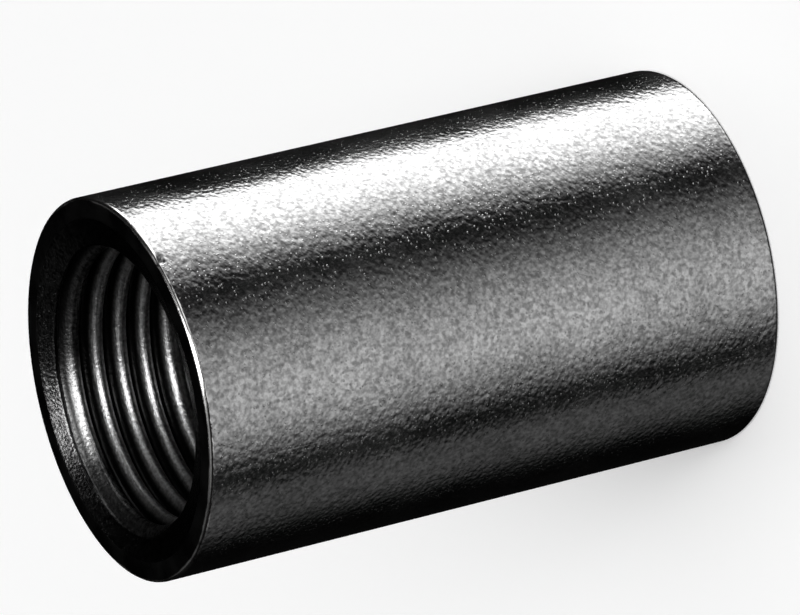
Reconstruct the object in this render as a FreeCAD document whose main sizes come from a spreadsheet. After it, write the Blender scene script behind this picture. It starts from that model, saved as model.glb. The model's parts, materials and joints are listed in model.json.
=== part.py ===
import FreeCAD, Part
import math
import os
import Sketcher

# A steel pipe socket for a half-inch pipe thread, in millimetres.
# It stands on one end: the bore runs along Z, and the middle of the lower end face is the origin.
# Both ends are alike: a flat end face, a countersunk mouth and a thread that stops at a plain bore.

NODE = "pipe_socket"

SIZES = {
    # from one end face to the other
    "socket_length": 44.0,
    # across the roots of the thread
    "thread_major_diameter": 20.955,
    # metal outside the thread's roots, which makes the socket 26.4 across
    "root_wall": 2.7225,
    # fourteen turns to the inch
    "thread_pitch": 1.8143,
    # slope of each side of the thread ridge, in degrees
    "flank_angle": 27.5,
    # from an end face to the plain bore in the middle
    "thread_length": 10.2,
    # how far the ridge's crest stands back from the plain bore
    "crest_relief": 0.065,
    # how far the mouth opens beyond the thread's roots
    "mouth_margin": 1.3,
    # slope of the mouth's cone from the bore's axis, in degrees
    "mouth_angle": 70.0,
    # broken outer edge at each end
    "edge_chamfer": 0.25,
}

# Sizes that follow from the driving ones.
# The ridge is a sharp V with a sixth of its height cut off at the crest and at the root.
ROOT_RADIUS = "sizes.thread_major_diameter / 2"
CREST_HALF_WIDTH = "sizes.thread_pitch / 12"
THREAD_DEPTH = "sizes.thread_pitch / (3 * tan(sizes.flank_angle))"
CREST_RADIUS = f"({ROOT_RADIUS} - {THREAD_DEPTH})"
BORE_RADIUS = f"({CREST_RADIUS} - sizes.crest_relief)"
OUTSIDE_RADIUS = f"({ROOT_RADIUS} + sizes.root_wall)"
MOUTH_RADIUS = f"({ROOT_RADIUS} + sizes.mouth_margin)"
HALF_LENGTH = "sizes.socket_length / 2"
HALF_BORE_LENGTH = f"({HALF_LENGTH} - sizes.thread_length)"

# The ridge is sunk into the wall by this share of its depth, so that the two become one piece.
SUNK_DEPTH = f"({THREAD_DEPTH} / 8)"
SUNK_RADIUS = f"({ROOT_RADIUS} + {SUNK_DEPTH})"
SUNK_HALF_WIDTH = f"({CREST_HALF_WIDTH} + ({THREAD_DEPTH} + {SUNK_DEPTH}) * tan(sizes.flank_angle))"


def make_sheet(doc):
    """Returns the spreadsheet with one named cell for each driving size."""
    sheet = doc.addObject("Spreadsheet::Sheet", "sizes")
    for row, (name, value) in enumerate(SIZES.items(), start=1):
        sheet.set(f"A{row}", name)
        sheet.set(f"B{row}", str(value))
        sheet.setAlias(f"B{row}", name)
    return sheet


def origin_feature(body, role):
    """Returns one of the body's own origin planes or axes."""
    return next(f for f in body.Origin.OriginFeatures if f.Role == role)


def upright_sketch(body, name, plane):
    """Returns an empty sketch on a plane that holds the bore's axis: X is the radius and Y the height."""
    sketch = body.newObject("Sketcher::SketchObject", name)
    sketch.AttachmentSupport = [(origin_feature(body, plane), "")]
    sketch.MapMode = "FlatFace"
    return sketch


def draw_outline(sketch, corner_count):
    """Draws a closed chain of lines on a circle: the dimensions then move each corner to its place."""
    turn = 2 * math.pi / corner_count
    spots = [FreeCAD.Vector(math.cos(n * turn), math.sin(n * turn), 0) for n in range(corner_count)]
    for n, spot in enumerate(spots):
        sketch.addGeometry(Part.LineSegment(spot, spots[(n + 1) % corner_count]))
    for n in range(corner_count):
        sketch.addConstraint(Sketcher.Constraint("Coincident", n, 2, (n + 1) % corner_count, 1))


def place_corner(sketch, corner, radius, height):
    """Ties one corner's radius and height to the sheet."""
    for direction, distance in (("DistanceX", radius), ("DistanceY", height)):
        index = sketch.addConstraint(Sketcher.Constraint(direction, -1, 1, corner, 1, 1.0))
        sketch.setExpression(f"Constraints[{index}]", distance)


def turn_section(body, feature_type, name, sketch):
    """Turns a sketch once round the bore's axis, to add metal or to cut it away."""
    feature = body.newObject(feature_type, name)
    feature.Profile = sketch
    feature.ReferenceAxis = (sketch, ["V_Axis"])
    feature.Angle = 360
    feature.Refine = False
    return feature


def make_tube(body):
    """The turned blank: thread roots bored from both ends, with the plain bore left between them."""
    section = upright_sketch(body, "wall_section", "YZ_Plane")
    upper_half = [
        (OUTSIDE_RADIUS, f"{HALF_LENGTH} - sizes.edge_chamfer"),
        (f"{OUTSIDE_RADIUS} - sizes.edge_chamfer", HALF_LENGTH),
        (ROOT_RADIUS, HALF_LENGTH),
        (ROOT_RADIUS, HALF_BORE_LENGTH),
        (BORE_RADIUS, HALF_BORE_LENGTH),
    ]
    corner_count = 2 * len(upper_half)
    draw_outline(section, corner_count)
    for corner, (radius, height) in enumerate(upper_half):
        place_corner(section, corner, radius, height)
        below = corner_count - 1 - corner
        section.addConstraint(Sketcher.Constraint("Symmetric", corner, 1, below, 1, -1))
    return turn_section(body, "PartDesign::Revolution", "tube", section)


def make_thread(body):
    """The upper thread's ridge: right-handed, from inside the plain bore's wall to above the end face."""
    profile = upright_sketch(body, "ridge_profile", "XZ_Plane")
    start = f"({HALF_BORE_LENGTH} - sizes.thread_pitch)"
    corners = [
        (CREST_RADIUS, f"{start} - {CREST_HALF_WIDTH}"),
        (SUNK_RADIUS, f"{start} - {SUNK_HALF_WIDTH}"),
        (SUNK_RADIUS, f"{start} + {SUNK_HALF_WIDTH}"),
        (CREST_RADIUS, f"{start} + {CREST_HALF_WIDTH}"),
    ]
    draw_outline(profile, len(corners))
    for corner, (radius, height) in enumerate(corners):
        place_corner(profile, corner, radius, height)
    ridge = body.newObject("PartDesign::AdditiveHelix", "thread_ridge")
    ridge.Profile = profile
    ridge.ReferenceAxis = (profile, ["V_Axis"])
    ridge.Mode = "pitch-height-angle"
    ridge.LeftHanded = False
    ridge.Refine = False
    ridge.setExpression("Pitch", "sizes.thread_pitch")
    ridge.setExpression("Height", "sizes.thread_length + 3 * sizes.thread_pitch")
    return ridge


def make_mouth(body):
    """The upper mouth's cone, which also takes off the ridge that stands above the end face."""
    section = upright_sketch(body, "mouth_section", "YZ_Plane")
    inner_radius = f"({BORE_RADIUS} - sizes.mouth_margin)"
    cone_depth = f"({MOUTH_RADIUS} - {inner_radius}) / tan(sizes.mouth_angle)"
    above = f"{HALF_LENGTH} + 4 * sizes.thread_pitch"
    corners = [
        (inner_radius, f"{HALF_LENGTH} - {cone_depth}"),
        (MOUTH_RADIUS, HALF_LENGTH),
        (MOUTH_RADIUS, above),
        (inner_radius, above),
    ]
    draw_outline(section, len(corners))
    for corner, (radius, height) in enumerate(corners):
        place_corner(section, corner, radius, height)
    return turn_section(body, "PartDesign::Groove", "mouth", section)


def make_other_end(body, features):
    """The lower thread and mouth: the upper ones turned end over end, which keeps the thread's hand."""
    turned = body.newObject("PartDesign::PolarPattern", "other_end")
    turned.Originals = features
    turned.Axis = (origin_feature(body, "X_Axis"), [""])
    turned.Angle = 360
    turned.Occurrences = 2
    turned.Refine = False
    body.Tip = turned


def make_socket(doc):
    """Returns the finished socket, lifted so that its lower end face lies at height zero."""
    body = doc.addObject("PartDesign::Body", NODE)
    body.Label = NODE
    make_tube(body)
    doc.recompute()
    ridge = make_thread(body)
    doc.recompute()
    mouth = make_mouth(body)
    doc.recompute()
    make_other_end(body, [ridge, mouth])
    body.setExpression("Placement.Base.z", HALF_LENGTH)
    doc.recompute()
    return body


def check(doc, body):
    """Stops if any object failed, or if the socket isn't one sound solid."""
    failed = [o.Name for o in doc.Objects if {"Invalid", "Error"} & set(o.State)]
    if failed:
        raise RuntimeError(f"not built: {failed}")
    if body.Shape.isNull() or not body.Shape.isValid() or len(body.Shape.Solids) != 1:
        raise RuntimeError(f"{body.Label} is not one sound solid")


doc = FreeCAD.newDocument(NODE)
make_sheet(doc)
doc.recompute()
socket = make_socket(doc)
check(doc, socket)
os.makedirs("parts", exist_ok=True)
socket.Shape.exportStep(f"parts/{socket.Label}.step")
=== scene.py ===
import json
import math

import bmesh
import bpy
from mathutils import Matrix, Vector


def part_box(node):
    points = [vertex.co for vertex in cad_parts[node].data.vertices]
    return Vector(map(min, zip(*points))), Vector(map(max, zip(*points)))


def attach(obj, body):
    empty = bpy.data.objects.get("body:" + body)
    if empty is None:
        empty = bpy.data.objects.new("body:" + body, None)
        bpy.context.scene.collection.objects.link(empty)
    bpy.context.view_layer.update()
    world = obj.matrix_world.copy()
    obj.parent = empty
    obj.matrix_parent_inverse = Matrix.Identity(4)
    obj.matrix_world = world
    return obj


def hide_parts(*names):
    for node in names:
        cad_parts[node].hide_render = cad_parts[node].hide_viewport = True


# The looks of a black steel pipe socket that stands on its lower end, with its bore along Z.
# Lengths are in metres and angles in radians, unless a name or comment says otherwise.

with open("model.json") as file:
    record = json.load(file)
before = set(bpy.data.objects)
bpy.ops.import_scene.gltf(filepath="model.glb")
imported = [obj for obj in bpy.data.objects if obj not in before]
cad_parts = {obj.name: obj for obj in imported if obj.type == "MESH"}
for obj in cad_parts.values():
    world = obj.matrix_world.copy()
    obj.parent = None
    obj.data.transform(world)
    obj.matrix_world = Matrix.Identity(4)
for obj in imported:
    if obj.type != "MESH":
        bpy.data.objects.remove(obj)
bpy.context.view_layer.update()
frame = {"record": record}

MM = 0.001
SOCKET = "pipe_socket"

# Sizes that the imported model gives.
LOW_CORNER, HIGH_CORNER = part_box(SOCKET)
SOCKET_LENGTH = HIGH_CORNER.z - LOW_CORNER.z
HALF_LENGTH = SOCKET_LENGTH / 2
OUTSIDE_RADIUS = (HIGH_CORNER.x - LOW_CORNER.x) / 2
BORE_RADIUS = frame["record"]["mounts"][0]["dims"]["r_mm"] * MM

# The thread, cut like the solid's but with rounded roots and with crests worn rounder still.
PITCH = 1.8143 * MM
FLANK_ANGLE = math.radians(27.5)
ROOT_RADIUS = 10.4775 * MM
CREST_RADIUS = ROOT_RADIUS - PITCH / (3 * math.tan(FLANK_ANGLE))
ROOT_ROUNDING = 0.137329 * PITCH
CREST_ROUNDING = 0.41 * MM
WORN_CREST_RADIUS = CREST_RADIUS + (CREST_ROUNDING - ROOT_ROUNDING) * (1 / math.sin(FLANK_ANGLE) - 1)
THREAD_LENGTH = 10.2 * MM
RUN_OUT = PITCH
CREST_DEPTH_AT_X = (THREAD_LENGTH + PITCH) % PITCH

# The mouth and the edges. Beyond the uncut radius, the thread leaves the mouth plain.
MOUTH_RADIUS = ROOT_RADIUS + 1.3 * MM
MOUTH_ANGLE = math.radians(70)
CONE_DEPTH = (MOUTH_RADIUS - BORE_RADIUS) / math.tan(MOUTH_ANGLE)
EDGE_ROUNDING = 0.25 * MM
RIM_ROUNDING = 0.12 * MM
CUT_ROUNDING = 0.04 * MM
UNCUT_RADIUS = ROOT_RADIUS + 5 * CUT_ROUNDING
RIM_BAND = 2 * MM

# A small slanting flat that a knock left on the upper outer edge.
NICK_ANGLE = math.radians(106.5)
NICK_LENGTH = 0.7 * MM
NICK_REACH = 2 * NICK_LENGTH
NICK_FADE = NICK_LENGTH / 3
NICK_HALF_WIDTH = 0.38 * MM
NICK_STEP = 0.12 * MM
NICK_SLOPE = math.tan(math.radians(10))

# How closely the mesh follows each surface.
STEPS_ROUND = 256
ROUNDING_STEPS = 4
NICK_CUTS = 3
OUTSIDE_ROWS = 0.8 * MM
RIM_BAND_ROWS = 0.13 * MM
FACE_ROWS = 0.15 * MM
CONE_ROWS = 0.19 * MM
THREAD_ROWS = 0.09 * MM
BORE_ROWS = 1.5 * MM
HAIR = 0.001 * MM

# The grain: pebbles to the metre, how much closer they lie along the socket, and how high they stand.
SKIN_PEBBLES = 2150.0
SKIN_SQUEEZE = (1, 1, 1.35)
SKIN_TONES = 3000.0
SKIN_RELIEF = 0.0245 * MM
BORE_PEBBLES = 3900.0
BORE_RELIEF = 0.018 * MM

# How the grain is made up: how much closer bumps and specks lie than pebbles, how high each stands,
# which specks show and how sharp they are, and what pebbles and bumps add to the tone.
PEBBLE_ROUNDNESS = 0.5
BUMP_CLOSENESS = 1.25
SPECK_CLOSENESS = 1.45
PEBBLE_DEPTH = 0.8
SPECK_HEIGHT = 0.6
SPECK_CHANCE = (0.1, 0.7)
SPECK_EDGE = (0.4, 0.2)
SPECK_RAGGEDNESS = 0.25
PEBBLE_TONE = 0.6
BUMP_TONE = 0.6
TONE_SHIFT = -0.1

# Tool marks, drawing scratches, cloudy patches and the worn edge.
FACE_MARKS = 0.11 * MM
FACE_RELIEF = 0.003 * MM
BORE_MARKS = 0.06 * MM
SCRATCHES = 1900.0
SCRATCH_STRETCH = (1, 1, 0.03)
SCRATCH_EDGE = (0.67, 0.75)
SCRATCH_DEPTH = 0.1
SKIN_CLOUDS = 190.0
FACE_CLOUDS = 320.0
SOFT_CLOUDS = (0.3, 0.7)
FIRM_CLOUDS = (0.35, 0.65)
WEAR_PATCHES = 420.0
WEAR_WIDTH = 0.24 * MM
WEAR_RAGGEDNESS = (1.6, 0.1)
WEAR_EDGE = (1.2, 0.7)
WORN_RELIEF = 0.25
BARE_STEEL = (0.7575, 0.75, 0.7425, 1.0)

# How rough each finish is, how grey it mirrors at a slant, and how much coarser the mouths' grain is.
SKIN_ROUGHNESS = (0.15, 0.2)
FACE_ROUGHNESS = (0.24, 0.32)
BORE_ROUGHNESS = (0.21, 0.33)
FACE_SLANT_GREY = 0.4
BORE_SLANT_GREY = 0.2
CONE_COARSENESS = 1.1

# The finishes' places in the socket's list of materials.
SKIN, FACED_END, CUT_BORE = range(3)

# Where the bore's colour changes: the depth, or the distance behind the cone or the crest
# or before the thread's end, at which each change begins and is full. Past the first turn's end, its painted
# shade stops. The last three place painted shade in the thread's roots and deep in the bore.
THREAD_BEHIND_CONE = (0.05 * MM, 0.4 * MM)
FIRST_TURN_END = (2.1 * MM, 2.7 * MM)
ROOT_SHADE_DEPTH = (0.5 * MM, 1.1 * MM)
ROOT_SHADE_BEHIND_CREST = (0.2 * MM, 0.7 * MM)
DEEP_SHADE_BEFORE_THREAD_END = (1.0 * MM, 0.4 * MM)

# The side of the bore, across from the camera, where the mouth and the first turn of each thread get a
# painted highlight, and how nearly a spot faces it, from 0 to 1, where the painted highlight begins and
# where it is full.
HIGHLIGHT_SIDE_ANGLE = math.radians(255)
HIGHLIGHT_SIDE = (math.cos(HIGHLIGHT_SIDE_ANGLE), math.sin(HIGHLIGHT_SIDE_ANGLE), 0)
HIGHLIGHT_ON_THREAD = (0.9, 0.98)
HIGHLIGHT_ON_CONE = (0.93, 0.99)

# The camera: where it stands round the socket, how it is turned and where the socket lies in its picture.
VIEW_AZIMUTH = math.radians(70)
VIEW_ELEVATION = math.radians(26.736)
VIEW_ROLL = math.radians(-103.411)
VIEW_DISTANCE = 523.16 * MM
VIEW_OFFSET_RIGHT = 0.173 * MM
VIEW_OFFSET_UP = -1.009 * MM
LENS_MM = 345.28

# Level directions from the socket: towards the camera and across its view.
TOWARDS_CAMERA = (math.cos(VIEW_AZIMUTH), math.sin(VIEW_AZIMUTH), 0)
ACROSS_VIEW = (-TOWARDS_CAMERA[1], TOWARDS_CAMERA[0], 0)

# Where the strips of light begin and end, low and high, by the height of a direction of length one.
LOW_REACH = ((-0.88, -0.62), (-0.15, 0.05))
EDGE_REACH = ((-0.15, 0.05), (0.15, 0.45))
HIGH_REACH = ((0.35, 0.5), (0.7, 0.9))

# Upright strips of light: where each brightens and fades, in degrees from the camera, and its brightness.
KEY_STRIP = {"middle": 95, "rise": (47, 104), "fall": (113, 123), "reach": LOW_REACH, "brightness": 6.3}
FRONT_STRIP = {"middle": -20, "rise": (-69, -24), "fall": (-22, 48), "reach": LOW_REACH, "brightness": 1.75}
LOW_FILL = {"middle": -90, "rise": (-124, -94), "fall": (-84, -70), "reach": LOW_REACH, "brightness": 0.24}
BACK_FILL = {"middle": 180, "rise": (168, 178), "fall": (182, 192), "reach": LOW_REACH, "brightness": 0.05}
EDGE_LIGHT = {"middle": 60, "rise": (10, 35), "fall": (85, 105), "reach": EDGE_REACH, "brightness": 1.7}
FAR_FILL = {"middle": 210, "rise": (188, 204), "fall": (228, 245), "reach": HIGH_REACH, "brightness": 0.07}

# The long lamp overhead: where it brightens, fades and widens, by the lean towards the camera in degrees,
# then its half-widths, how far it lies to one side, and where its edge fades, in half-widths.
LAMP_LEAN = ((-36, -15), (56, 82))
LAMP_WIDENING = (-32, 8)
LAMP_HALF_WIDTHS = (0.04, 0.2)
LAMP_ASIDE = 0.085
LAMP_EDGE = (1.3, 0.4)
LAMP_BRIGHTNESS = 5.5

# The dim room: its dark walls, its paler ground, and its ceiling on the camera's side.
WALL_BRIGHTNESS = 0.003
GROUND_BRIGHTNESS = 0.1
GROUND_EDGE = (-0.7, -0.95)
CEILING_BRIGHTNESS = 0.3
CEILING_EDGE = (0.6, 0.9)
CEILING_LEAN = (-26, 4)

# The wide pale floor, with a little light of its own.
FLOOR_RADIUS = 6.0
FLOOR_SIDES = 64
FLOOR_COLOUR = (0.8, 0.8, 0.8, 1.0)
FLOOR_GLOW = 0.3


def place(tree, kind, inputs=None, **settings):
    """Adds a node and fills its sockets, by name or number, with values or links."""
    node = tree.nodes.new(kind)
    for name, value in settings.items():
        setattr(node, name, value)
    for name, value in (inputs or {}).items():
        if isinstance(value, bpy.types.NodeSocket):
            tree.links.new(value, node.inputs[name])
        else:
            node.inputs[name].default_value = value
    return node


def calculate(tree, operation, *values):
    """Adds a Math node and returns its result."""
    return place(tree, "ShaderNodeMath", dict(enumerate(values)), operation=operation).outputs[0]


def ramp(tree, value, start, end, low=0.0, high=1.0):
    """Eases from low to high while a value goes from start to end."""
    inputs = {"Value": value, "From Min": start, "From Max": end, "To Min": low, "To Max": high}
    return place(tree, "ShaderNodeMapRange", inputs, interpolation_type="SMOOTHSTEP").outputs["Result"]


def band(tree, value, rise, fall):
    """Eases from 0 to 1 and back to 0 while a value passes two ranges."""
    return calculate(tree, "MULTIPLY", ramp(tree, value, *rise), ramp(tree, value, *fall, 1.0, 0.0))


def noise(tree, spot, scale, detail):
    """Adds a cloudy pattern and returns its value."""
    inputs = {"Vector": spot, "Scale": scale, "Detail": detail}
    return place(tree, "ShaderNodeTexNoise", inputs).outputs["Fac"]


def along(tree, spot, direction):
    """Returns how far a spot lies along a direction."""
    inputs = {0: spot, 1: direction}
    return place(tree, "ShaderNodeVectorMath", inputs, operation="DOT_PRODUCT").outputs["Value"]


def stretch(tree, spot, scale):
    """Returns a spot whose pattern is drawn out or squeezed."""
    return place(tree, "ShaderNodeMapping", {"Vector": spot, "Scale": scale}).outputs["Vector"]


def mix_colours(tree, share, first, second):
    """Blends two colours by a share and returns the result."""
    return place(tree, "ShaderNodeMix", {0: share, 6: first, 7: second}, data_type="RGBA").outputs[2]


def grey(value):
    """A neutral steel colour."""
    return (value, value, value, 1.0)


def measure_from_axis(tree, spot):
    """Returns a spot's distance from the bore's axis, and its X, Y and Z."""
    parts = place(tree, "ShaderNodeSeparateXYZ", {"Vector": spot}).outputs
    across = place(tree, "ShaderNodeCombineXYZ", {"X": parts["X"], "Y": parts["Y"]}).outputs["Vector"]
    radius = place(tree, "ShaderNodeVectorMath", {0: across}, operation="LENGTH").outputs["Value"]
    return radius, parts


def new_group(name, size, outputs):
    """Starts a node group that takes a spot and a size, and returns it with its inputs and results."""
    group = bpy.data.node_groups.new(name, "ShaderNodeTree")
    group.interface.new_socket("Vector", in_out="INPUT", socket_type="NodeSocketVector")
    group.interface.new_socket(size, in_out="INPUT", socket_type="NodeSocketFloat")
    for label in outputs:
        group.interface.new_socket(label, in_out="OUTPUT", socket_type="NodeSocketFloat")
    given = group.nodes.new("NodeGroupInput").outputs
    results = group.nodes.new("NodeGroupOutput").inputs
    return group, given["Vector"], given[size], results


def use_group(tree, group, spot, size):
    """Places a node group in a material and returns its results."""
    return place(tree, "ShaderNodeGroup", {0: spot, 1: size}, node_tree=group).outputs


def pebble_grain_group():
    """Pebbled grain: round cells with smaller bumps, a tone for each pebble, and small sharp specks."""
    group, spot, scale, results = new_group("pebble_grain", "Scale", ["Height", "Tone", "Specks"])
    pebbles = {"Vector": spot, "Scale": scale, "Smoothness": PEBBLE_ROUNDNESS}
    cells = place(group, "ShaderNodeTexVoronoi", pebbles, feature="SMOOTH_F1").outputs
    bumps = noise(group, spot, calculate(group, "MULTIPLY", scale, BUMP_CLOSENESS), 1.0)
    sparse = {"Vector": spot, "Scale": calculate(group, "MULTIPLY", scale, SPECK_CLOSENESS)}
    specks = place(group, "ShaderNodeTexVoronoi", sparse, feature="F1").outputs
    chance = place(group, "ShaderNodeSeparateColor", {"Color": specks["Color"]}).outputs["Red"]
    ragged = calculate(group, "MULTIPLY_ADD", bumps, SPECK_RAGGEDNESS, specks["Distance"])
    shown = ramp(group, chance, *SPECK_CHANCE)
    speck = calculate(group, "MULTIPLY", ramp(group, ragged, *SPECK_EDGE), shown)
    height = calculate(group, "MULTIPLY_ADD", cells["Distance"], -PEBBLE_DEPTH, bumps)
    height = calculate(group, "MULTIPLY_ADD", speck, SPECK_HEIGHT, height)
    pebble = place(group, "ShaderNodeSeparateColor", {"Color": cells["Color"]}).outputs["Green"]
    tone = calculate(group, "MULTIPLY_ADD", ramp(group, bumps, *SOFT_CLOUDS), BUMP_TONE, TONE_SHIFT)
    tone = calculate(group, "MULTIPLY_ADD", pebble, PEBBLE_TONE, tone)
    group.links.new(height, results["Height"])
    group.links.new(tone, results["Tone"])
    group.links.new(speck, results["Specks"])
    return group


def turned_lines_group():
    """Fine tool marks that run round the bore's axis."""
    group, spot, spacing, results = new_group("turned_lines", "Spacing", ["Height"])
    radius, parts = measure_from_axis(group, spot)
    angle = calculate(group, "ARCTAN2", parts["Y"], parts["X"])
    line_radius = calculate(group, "DIVIDE", radius, spacing)
    line_height = calculate(group, "DIVIDE", parts["Z"], spacing)
    lines = place(group, "ShaderNodeCombineXYZ", {"X": line_radius, "Y": line_height, "Z": angle})
    group.links.new(noise(group, lines.outputs["Vector"], 1.0, 2.0), results["Height"])
    return group


def rim_wear_group():
    """Where handling has worn the upper outer edge down to bare steel."""
    group, spot, width, results = new_group("rim_wear", "Width", ["Mask"])
    radius, parts = measure_from_axis(group, spot)
    below_outside = calculate(group, "SUBTRACT", OUTSIDE_RADIUS, radius)
    below_face = calculate(group, "SUBTRACT", SOCKET_LENGTH, parts["Z"])
    from_edge = calculate(group, "ADD", below_outside, below_face)
    ragged = calculate(group, "MULTIPLY_ADD", noise(group, spot, WEAR_PATCHES, 4.0), *WEAR_RAGGEDNESS)
    share = calculate(group, "DIVIDE", from_edge, calculate(group, "MULTIPLY", width, ragged))
    group.links.new(ramp(group, share, *WEAR_EDGE), results["Mask"])
    return group


def finish_material(name):
    """Starts a steel finish and returns it with its node tree, its shader and the socket's coordinates."""
    material = bpy.data.materials.new(name)
    material.use_nodes = True
    tree = material.node_tree
    shader = tree.nodes["Principled BSDF"]
    shader.inputs["Metallic"].default_value = 1.0
    spot = place(tree, "ShaderNodeTexCoord").outputs["Object"]
    return material, tree, shader, spot


def paint_surface(tree, shader, colour, roughness, height, relief):
    """Feeds the shader its colour and roughness, and its normal from a height."""
    tree.links.new(colour, shader.inputs["Base Color"])
    tree.links.new(roughness, shader.inputs["Roughness"])
    bump = place(tree, "ShaderNodeBump", {"Height": height, "Distance": relief, "Strength": 1.0})
    tree.links.new(bump.outputs["Normal"], shader.inputs["Normal"])


def black_skin(grain, wear):
    """The drawn outside: black pebbled skin with faint drawing scratches and a bare worn edge."""
    material, tree, shader, spot = finish_material("black_skin")
    pebbles = use_group(tree, grain, stretch(tree, spot, SKIN_SQUEEZE), SKIN_PEBBLES)
    tone = use_group(tree, grain, spot, SKIN_TONES)["Tone"]
    worn = use_group(tree, wear, spot, WEAR_WIDTH)["Mask"]
    drawn = noise(tree, stretch(tree, spot, SCRATCH_STRETCH), SCRATCHES, 3.0)
    scratches = ramp(tree, drawn, *SCRATCH_EDGE)
    clouds = noise(tree, spot, SKIN_CLOUDS, 5.0)
    dull = mix_colours(tree, tone, grey(0.095), grey(0.25))
    clear = mix_colours(tree, tone, grey(0.12), grey(0.29))
    skin = mix_colours(tree, ramp(tree, clouds, *FIRM_CLOUDS), dull, clear)
    skin = mix_colours(tree, pebbles["Specks"], skin, grey(0.27))
    colour = mix_colours(tree, worn, skin, BARE_STEEL)
    roughness = ramp(tree, clouds, *SOFT_CLOUDS, *SKIN_ROUGHNESS)
    height = calculate(tree, "MULTIPLY_ADD", scratches, -SCRATCH_DEPTH, pebbles["Height"])
    height = calculate(tree, "MULTIPLY", height, ramp(tree, worn, 0.0, 1.0, 1.0, WORN_RELIEF))
    paint_surface(tree, shader, colour, roughness, height, SKIN_RELIEF)
    return material


def faced_end(lines, wear):
    """The end faces: turned flat and blackened, bare along the worn edge."""
    material, tree, shader, spot = finish_material("faced_end")
    shader.inputs["Specular Tint"].default_value = grey(FACE_SLANT_GREY)
    marks = use_group(tree, lines, spot, FACE_MARKS)["Height"]
    worn = use_group(tree, wear, spot, WEAR_WIDTH)["Mask"]
    clouds = noise(tree, spot, FACE_CLOUDS, 5.0)
    black = mix_colours(tree, ramp(tree, clouds, *FIRM_CLOUDS), grey(0.04), grey(0.06))
    colour = mix_colours(tree, worn, black, BARE_STEEL)
    roughness = ramp(tree, clouds, *SOFT_CLOUDS, *FACE_ROUGHNESS)
    paint_surface(tree, shader, colour, roughness, marks, FACE_RELIEF)
    return material


def cut_bore(grain, lines):
    """The mouths and threads: a blackened grainy cone, then cut steel with painted shade in its roots and
    deep in the bore, and a first turn painted dark save for a painted highlight.
    """
    material, tree, shader, spot = finish_material("cut_bore")
    shader.inputs["Specular Tint"].default_value = grey(BORE_SLANT_GREY)
    pebbles = use_group(tree, grain, spot, BORE_PEBBLES)
    tone = pebbles["Tone"]
    marks = use_group(tree, lines, spot, BORE_MARKS)["Height"]
    radius, parts = measure_from_axis(tree, spot)
    from_middle = calculate(tree, "ABSOLUTE", calculate(tree, "SUBTRACT", parts["Z"], HALF_LENGTH))
    depth = calculate(tree, "SUBTRACT", HALF_LENGTH, from_middle)
    cone_radius = calculate(tree, "MULTIPLY_ADD", depth, -math.tan(MOUTH_ANGLE), MOUTH_RADIUS)
    behind_cone = calculate(tree, "SUBTRACT", radius, cone_radius)
    behind_crest = calculate(tree, "SUBTRACT", radius, WORN_CREST_RADIUS)
    before_end = calculate(tree, "SUBTRACT", THREAD_LENGTH, depth)
    facing = calculate(tree, "DIVIDE", along(tree, spot, HIGHLIGHT_SIDE), radius)
    # Painted highlight: the first turn is bright steel where it faces the side across from the camera. The
    # rest of the first turn is painted dark as shade, and the deeper turns are bare cut steel.
    painted_highlight = ramp(tree, facing, *HIGHLIGHT_ON_THREAD)
    bare = calculate(tree, "MAXIMUM", painted_highlight, ramp(tree, depth, *FIRST_TURN_END))
    dull = mix_colours(tree, tone, grey(0.04), grey(0.17))
    bright = mix_colours(tree, tone, grey(0.28), grey(0.6))
    steel = mix_colours(tree, bare, dull, bright)
    # Painted shade: the thread's roots past the mouth, and the bore near and beyond the thread's end, are
    # painted near black.
    root_shade = ramp(tree, behind_crest, *ROOT_SHADE_BEHIND_CREST)
    root_shade = calculate(tree, "MULTIPLY", root_shade, ramp(tree, depth, *ROOT_SHADE_DEPTH))
    painted_shade = calculate(tree, "MAXIMUM", root_shade, ramp(tree, before_end, *DEEP_SHADE_BEFORE_THREAD_END))
    thread = mix_colours(tree, painted_shade, steel, grey(0.03))
    # The cone is near black, and it is paler where it faces the side across from the camera: a painted
    # highlight.
    black_cone = mix_colours(tree, tone, grey(0.02), grey(0.11))
    highlit_cone = mix_colours(tree, tone, grey(0.05), grey(0.28))
    cone = mix_colours(tree, ramp(tree, facing, *HIGHLIGHT_ON_CONE), black_cone, highlit_cone)
    threaded = ramp(tree, behind_cone, *THREAD_BEHIND_CONE)
    colour = mix_colours(tree, threaded, cone, thread)
    roughness = ramp(tree, threaded, 0.0, 1.0, *BORE_ROUGHNESS)
    coarse = ramp(tree, threaded, 0.0, 1.0, CONE_COARSENESS, 1.0)
    height = calculate(tree, "MULTIPLY_ADD", pebbles["Height"], coarse, marks)
    paint_surface(tree, shader, colour, roughness, height, BORE_RELIEF)
    return material


def hold(share):
    """Keeps a share between 0 and 1."""
    return min(1.0, max(0.0, share))


def thread_radius(angle, depth):
    """Radius of the thread's surface at an angle round the bore and a depth from its own end face."""
    crest_depth = CREST_DEPTH_AT_X - PITCH * angle / math.tau
    off_crest = abs((depth - crest_depth + PITCH / 2) % PITCH - PITCH / 2)
    off_root = PITCH / 2 - off_crest
    if off_crest < CREST_ROUNDING * math.cos(FLANK_ANGLE):
        return WORN_CREST_RADIUS + CREST_ROUNDING - math.sqrt(CREST_ROUNDING**2 - off_crest**2)
    if off_root < ROOT_ROUNDING * math.cos(FLANK_ANGLE):
        return ROOT_RADIUS - ROOT_ROUNDING + math.sqrt(ROOT_ROUNDING**2 - off_root**2)
    middle = (CREST_RADIUS + ROOT_RADIUS) / 2
    return middle + (off_crest - PITCH / 4) / math.tan(FLANK_ANGLE)


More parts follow.
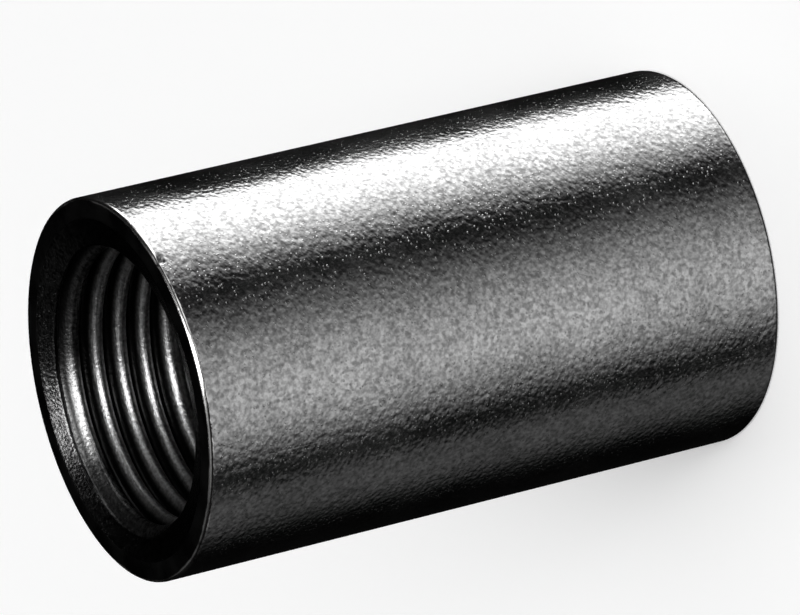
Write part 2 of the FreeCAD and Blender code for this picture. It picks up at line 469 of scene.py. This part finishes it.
def threaded_wall(angle, depth, plain_radius):
    """The wall's radius where the thread is cut into a plain mouth or bore, with slightly rounded edges."""
    fade = hold((THREAD_LENGTH - depth) / RUN_OUT)
    if depth <= 0 or fade == 0 or plain_radius > UNCUT_RADIUS:
        return plain_radius
    cut = thread_radius(angle, depth)
    cut = BORE_RADIUS + (cut - BORE_RADIUS) * fade
    blunt = CUT_ROUNDING * fade
    return (plain_radius + cut + math.sqrt((plain_radius - cut) ** 2 + blunt**2)) / 2


def row_spacing(spot):
    """How far apart the mesh's rows lie on the stretch of the section round a spot."""
    depth = min(spot.z, SOCKET_LENGTH - spot.z)
    if spot.x > OUTSIDE_RADIUS - HAIR:
        return RIM_BAND_ROWS if depth < RIM_BAND else OUTSIDE_ROWS
    if depth < HAIR:
        return FACE_ROWS
    if spot.x > BORE_RADIUS + HAIR:
        return CONE_ROWS
    return THREAD_ROWS if depth < THREAD_LENGTH else BORE_ROWS


def draw_section(mesh):
    """Draws the wall's closed section in the XZ plane, with rounded edges and evenly divided stretches."""
    upper_half = [
        (OUTSIDE_RADIUS, SOCKET_LENGTH - RIM_BAND),
        (OUTSIDE_RADIUS, SOCKET_LENGTH),
        (MOUTH_RADIUS, SOCKET_LENGTH),
        (BORE_RADIUS, SOCKET_LENGTH - CONE_DEPTH),
        (BORE_RADIUS, SOCKET_LENGTH - THREAD_LENGTH),
    ]
    lower_half = [(radius, SOCKET_LENGTH - height) for radius, height in reversed(upper_half)]
    corners = [mesh.verts.new((radius, 0, height)) for radius, height in upper_half + lower_half]
    mesh.faces.new(corners)
    outer_corners = [corners[1], corners[8]]
    mouth_corners = [corners[2], corners[7]]
    for sharp, rounding in ((outer_corners, EDGE_ROUNDING), (mouth_corners, RIM_ROUNDING)):
        bmesh.ops.bevel(
            mesh,
            geom=sharp,
            affect="VERTICES",
            offset=rounding,
            offset_type="OFFSET",
            segments=ROUNDING_STEPS,
            profile=0.5,
            material=-1,
        )
    bmesh.ops.delete(mesh, geom=mesh.faces[:], context="FACES_ONLY")
    for edge in mesh.edges[:]:
        first, last = (corner.co for corner in edge.verts)
        cuts = int((last - first).length / row_spacing((first + last) / 2))
        if cuts:
            bmesh.ops.subdivide_edges(mesh, edges=[edge], cuts=cuts)


def cut_threads(mesh):
    """Moves the inner wall out to the thread's surface, from each end."""
    for vert in mesh.verts:
        angle = math.atan2(vert.co.y, vert.co.x)
        upper = vert.co.z > HALF_LENGTH
        depth = SOCKET_LENGTH - vert.co.z if upper else vert.co.z
        plain = math.hypot(vert.co.x, vert.co.y)
        radius = threaded_wall(angle if upper else -angle, depth, plain)
        vert.co.x *= radius / plain
        vert.co.y *= radius / plain


def nick_edge(mesh):
    """Presses the small flat into the edge, where the mesh is first made finer."""
    outward = Vector((math.cos(NICK_ANGLE), math.sin(NICK_ANGLE), 0))
    along_edge = Vector((-outward.y, outward.x, 0))
    corner = outward * OUTSIDE_RADIUS + Vector((0, 0, SOCKET_LENGTH))
    near = []
    for edge in mesh.edges:
        if all((vert.co - corner).length < NICK_REACH for vert in edge.verts):
            near.append(edge)
    bmesh.ops.subdivide_edges(mesh, edges=near, cuts=NICK_CUTS, use_grid_fill=True)
    for vert in mesh.verts:
        offset = vert.co - corner
        if offset.length > NICK_REACH:
            continue
        across = offset.dot(along_edge)
        sink = NICK_SLOPE * max(0.0, NICK_HALF_WIDTH - across)
        step = hold((across + NICK_HALF_WIDTH) / NICK_STEP + 1)
        near_face = hold((offset.z + NICK_LENGTH) / NICK_FADE)
        near_wall = hold(1 + offset.dot(outward) / NICK_LENGTH)
        vert.co -= outward * sink * step * near_face * near_wall


def finish_number(face):
    """Which of the socket's finishes a face has: skin, faced end or cut bore."""
    centre = face.calc_center_median()
    radius = math.hypot(centre.x, centre.y)
    if radius > OUTSIDE_RADIUS - EDGE_ROUNDING / 2:
        return SKIN
    return FACED_END if radius > MOUTH_RADIUS else CUT_BORE


def link_mesh(mesh, name, materials):
    """Turns a finished bmesh into an object of the scene."""
    data = bpy.data.meshes.new(name)
    mesh.to_mesh(data)
    mesh.free()
    for material in materials:
        data.materials.append(material)
    item = bpy.data.objects.new(name, data)
    bpy.context.scene.collection.objects.link(item)
    return item


def make_socket(materials):
    """The whole socket in one mesh: the section turned once round the bore, then threaded."""
    mesh = bmesh.new()
    draw_section(mesh)
    bmesh.ops.spin(
        mesh,
        geom=mesh.verts[:] + mesh.edges[:],
        cent=(0, 0, 0),
        axis=(0, 0, 1),
        angle=math.tau,
        steps=STEPS_ROUND,
        use_merge=True,
    )
    bmesh.ops.remove_doubles(mesh, verts=mesh.verts[:], dist=HAIR)
    cut_threads(mesh)
    nick_edge(mesh)
    bmesh.ops.recalc_face_normals(mesh, faces=mesh.faces[:])
    for face in mesh.faces:
        face.smooth = True
        face.material_index = finish_number(face)
    return link_mesh(mesh, "turned_socket", materials)


def in_radians(ranges):
    """Turns ranges of degrees into radians."""
    return [tuple(math.radians(degrees) for degrees in ends) for ends in ranges]


def strip(tree, azimuth, height, middle, rise, fall, reach, brightness):
    """A soft upright strip of light, by a direction's azimuth and height."""
    off_middle = calculate(tree, "SUBTRACT", azimuth, VIEW_AZIMUTH + math.radians(middle))
    turned = calculate(tree, "WRAP", off_middle, math.pi, -math.pi)
    edges = in_radians([[degrees - middle for degrees in ends] for ends in (rise, fall)])
    light = calculate(tree, "MULTIPLY", band(tree, turned, *edges), brightness)
    return calculate(tree, "MULTIPLY", light, band(tree, height, *reach))


def light_studio():
    """A dim room with upright strips of light round it and one long soft lamp overhead."""
    world = bpy.data.worlds.new("studio")
    bpy.context.scene.world = world
    world.use_nodes = True
    tree = world.node_tree
    direction = place(tree, "ShaderNodeTexCoord").outputs["Generated"]
    parts = place(tree, "ShaderNodeSeparateXYZ", {"Vector": direction}).outputs
    height = parts["Z"]
    azimuth = calculate(tree, "ARCTAN2", parts["Y"], parts["X"])
    light = ramp(tree, height, *GROUND_EDGE, WALL_BRIGHTNESS, GROUND_BRIGHTNESS)
    for sizes in (KEY_STRIP, FRONT_STRIP, LOW_FILL, BACK_FILL, EDGE_LIGHT, FAR_FILL):
        light = calculate(tree, "ADD", light, strip(tree, azimuth, height, **sizes))
    lean = calculate(tree, "ARCTAN2", along(tree, direction, TOWARDS_CAMERA), height)
    widening, ceiling_lean = in_radians([LAMP_WIDENING, CEILING_LEAN])
    half_width = ramp(tree, lean, *widening, *LAMP_HALF_WIDTHS)
    off_line = calculate(tree, "SUBTRACT", along(tree, direction, ACROSS_VIEW), LAMP_ASIDE)
    off_line = calculate(tree, "DIVIDE", calculate(tree, "ABSOLUTE", off_line), half_width)
    lamp = ramp(tree, off_line, *LAMP_EDGE, 0.0, LAMP_BRIGHTNESS)
    light = calculate(tree, "MULTIPLY_ADD", lamp, band(tree, lean, *in_radians(LAMP_LEAN)), light)
    ceiling = ramp(tree, height, *CEILING_EDGE, 0.0, CEILING_BRIGHTNESS)
    light = calculate(tree, "MULTIPLY_ADD", ceiling, ramp(tree, lean, *ceiling_lean), light)
    tree.links.new(light, tree.nodes["Background"].inputs["Color"])


def pale_floor():
    """A matt pale colour with a little light of its own."""
    material = bpy.data.materials.new("pale_floor")
    material.use_nodes = True
    shader = material.node_tree.nodes["Principled BSDF"]
    shader.inputs["Base Color"].default_value = FLOOR_COLOUR
    shader.inputs["Roughness"].default_value = 1.0
    shader.inputs["Specular IOR Level"].default_value = 0.0
    shader.inputs["Emission Color"].default_value = (1, 1, 1, 1)
    shader.inputs["Emission Strength"].default_value = FLOOR_GLOW
    return material


def make_stage():
    """A pale floor under the socket. The steel mirrors the lights and not the floor."""
    mesh = bmesh.new()
    bmesh.ops.create_circle(mesh, cap_ends=True, segments=FLOOR_SIDES, radius=FLOOR_RADIUS)
    floor = link_mesh(mesh, "floor", [pale_floor()])
    floor.visible_glossy = False
    floor.visible_shadow = False


def place_camera():
    """Stands the camera where the mouth and the side show, rolled so that the socket lies on its side."""
    level = math.cos(VIEW_ELEVATION)
    back = Vector((level * TOWARDS_CAMERA[0], level * TOWARDS_CAMERA[1], math.sin(VIEW_ELEVATION)))
    upright = back.to_track_quat("Z", "Y").to_matrix()
    turned = upright @ Matrix.Rotation(VIEW_ROLL, 3, "Z")
    right, up = turned.col[0], turned.col[1]
    data = bpy.data.cameras.new("camera")
    data.lens = LENS_MM
    camera = bpy.data.objects.new("camera", data)
    bpy.context.scene.collection.objects.link(camera)
    camera.rotation_mode = "QUATERNION"
    camera.rotation_quaternion = turned.to_quaternion()
    middle = Vector((0, 0, HALF_LENGTH))
    camera.location = middle + back * VIEW_DISTANCE - right * VIEW_OFFSET_RIGHT - up * VIEW_OFFSET_UP
    bpy.context.scene.camera = camera


grain = pebble_grain_group()
lines = turned_lines_group()
wear = rim_wear_group()
finishes = [black_skin(grain, wear), faced_end(lines, wear), cut_bore(grain, lines)]
socket = make_socket(finishes)
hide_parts(SOCKET)
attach(socket, "root")

make_stage()
light_studio()
place_camera()
bpy.context.scene.view_settings.view_transform = "Standard"
